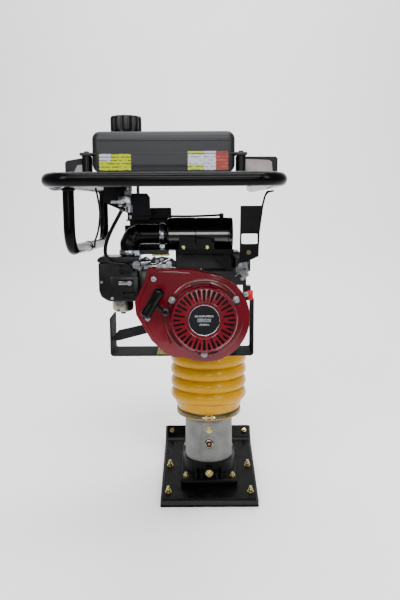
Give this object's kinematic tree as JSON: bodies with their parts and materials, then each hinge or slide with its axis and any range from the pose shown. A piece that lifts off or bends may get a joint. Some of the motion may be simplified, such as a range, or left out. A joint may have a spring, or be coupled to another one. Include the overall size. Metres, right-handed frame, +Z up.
{
  "type": "tamping rammer",
  "caption": "Petrol jumping jack rammer: spring-loaded foot with yellow bellows, pull-start engine, tank and U-shaped handle frame.",
  "frame": {"origin": "middle of the shoe's flat sole under the leg axis, on the ground", "axes": "+Z up from the ground, +Y forward in the direction of travel, +X to the right seen from the operator"},
  "size_m": [0.4735, 0.7719, 1.1082],
  "materials": {
    "black_paint": "gloss",
    "black_cast": "painted",
    "red_paint": "gloss",
    "cast_aluminium": "as cast",
    "zinc": "yellow zinc",
    "steel": "machined",
    "yellow_rubber": "gloss",
    "black_rubber": "satin",
    "black_plastic": "textured",
    "red_plastic": "gloss",
    "sight": "clear",
    "board": "matte"
  },
  "bodies": {
    "leg": {"shoe_sole": "black_paint", "shoe_board": "board", "shoe_plate": "black_paint", "shoe_bolt_1": "zinc", "shoe_bolt_2": "zinc", "shoe_bolt_3": "zinc", "shoe_bolt_4": "zinc", "shoe_bolt_5": "zinc", "shoe_bolt_6": "zinc", "foot_casting": "black_cast", "foot_nut_1": "zinc", "foot_nut_2": "zinc", "foot_nut_3": "zinc", "foot_nut_4": "zinc", "drain_plug": "zinc", "spring_cylinder": "cast_aluminium", "sight_glass": "sight", "filler_plug": "zinc", "bellows": "yellow_rubber", "lower_clamp": "zinc", "lower_spring": "steel", "upper_spring": "steel"},
    "ram": {"ram_rod": "steel"},
    "machine": {"guide_cylinder": "cast_aluminium", "crankcase": "black_cast", "crankcase_cover": "black_cast", "upper_clamp": "zinc", "engine_block": "black_cast", "fan_cover": "red_paint", "recoil_housing": "red_paint", "filter_canister": "black_paint", "intake_elbow": "black_rubber", "elbow_clamp": "steel", "filter_shelf": "black_paint", "carb_cover": "black_plastic", "float_bowl": "steel", "carburettor": "cast_aluminium", "muffler": "black_cast", "guard_frame": "black_paint", "machine_platform": "black_paint", "left_shock_mount": "black_rubber", "right_shock_mount": "black_rubber", "fuel_hose": "black_rubber"},
    "crank": {"crank_gear": "steel"},
    "rod": {"connecting_rod": "steel"},
    "drum": {"clutch_drum": "steel"},
    "engine_shaft": {"flywheel": "cast_aluminium"},
    "starter_grip": {"recoil_grip": "black_rubber"},
    "switch": {"engine_switch": "red_plastic"},
    "choke": {"choke_lever": "steel"},
    "fuel_valve": {"fuel_lever": "black_plastic"},
    "handle": {"handle_loop": "black_paint", "side_handle": "black_paint", "right_bracket": "black_paint", "tank_bracket": "black_paint", "fuel_tank": "black_plastic", "fuel_tap": "cast_aluminium"},
    "cap": {"tank_cap": "black_plastic"},
    "tap": {"tap_lever": "steel"},
    "throttle": {"throttle_lever": "steel"}
  },
  "joints": [
    {"name": "leg_travel", "type": "slide", "parent": "leg", "child": "machine", "axis": [0, 0.1994, 0.9799], "range_m": [-0.03, 0.035], "stiffness_N_per_m": 60000, "deforming": ["bellows", "lower_spring", "upper_spring"]},
    {"name": "ram_slide", "type": "slide", "parent": "machine", "child": "ram", "axis": [0, 0.1994, 0.9799], "range_m": [-0.025, 0]},
    {"name": "crank_turn", "type": "hinge", "parent": "machine", "child": "crank", "pos_m": [0, 0.09231, 0.48871], "axis": [0, 0.9799, -0.1994], "continuous": true},
    {"name": "rod_pivot", "type": "hinge", "parent": "crank", "child": "rod", "pos_m": [0, 0.0948, 0.50095], "axis": [0, 0.9799, -0.1994], "continuous": true},
    {"name": "drum_turn", "type": "hinge", "parent": "machine", "child": "drum", "pos_m": [-0.015, 0.10645, 0.55821], "axis": [0, 0.9799, -0.1994], "continuous": true},
    {"name": "engine_turn", "type": "hinge", "parent": "machine", "child": "engine_shaft", "pos_m": [-0.015, 0.10645, 0.55821], "axis": [0, 0.9799, -0.1994], "continuous": true},
    {"name": "starter_pull", "type": "slide", "parent": "machine", "child": "starter_grip", "axis": [-0.5499, -0.6198, 0.5599], "range_m": [0, 0.35], "stiffness_N_per_m": 25, "springref_m": -0.05},
    {"name": "switch_rock", "type": "hinge", "parent": "machine", "child": "switch", "pos_m": [0.0955, -0.25084, 0.68302], "axis": [1, 0, 0], "range_deg": [-12, 12]},
    {"name": "choke_turn", "type": "hinge", "parent": "machine", "child": "choke", "pos_m": [-0.197, -0.2047, 0.69914], "axis": [0, 0.9799, -0.1994], "range_deg": [-10, 30]},
    {"name": "fuel_lever_turn", "type": "hinge", "parent": "machine", "child": "fuel_valve", "pos_m": [-0.191, -0.21058, 0.67024], "axis": [0, 0.9799, -0.1994], "range_deg": [-30, 10]},
    {"name": "handle_rock", "type": "hinge", "parent": "machine", "child": "handle", "pos_m": [0, 0.09871, 0.8211], "axis": [1, 0, 0], "range_deg": [-2.5, 2.5], "stiffness_Nm_per_rad": 9000, "deforming": ["fuel_hose"]},
    {"name": "cap_turn", "type": "hinge", "parent": "handle", "child": "cap", "pos_m": [-0.182, -0.28527, 1.06556], "axis": [0, 0.1994, 0.9799], "range_deg": [0, 120]},
    {"name": "tap_turn", "type": "hinge", "parent": "handle", "child": "tap", "pos_m": [-0.208, -0.18394, 0.89647], "axis": [0, 0.9799, -0.1994], "range_deg": [0, 90]},
    {"name": "throttle_turn", "type": "hinge", "parent": "handle", "child": "throttle", "pos_m": [-0.307, -0.43869, 0.9886], "axis": [0, 0.9799, -0.1994], "range_deg": [-35, 35]}
  ],
  "couplings": [
    {"joint": "rod_pivot", "follows": "crank_turn", "ratio": -1},
    {"joint": "drum_turn", "follows": "crank_turn", "ratio": -3.1429}
  ]
}
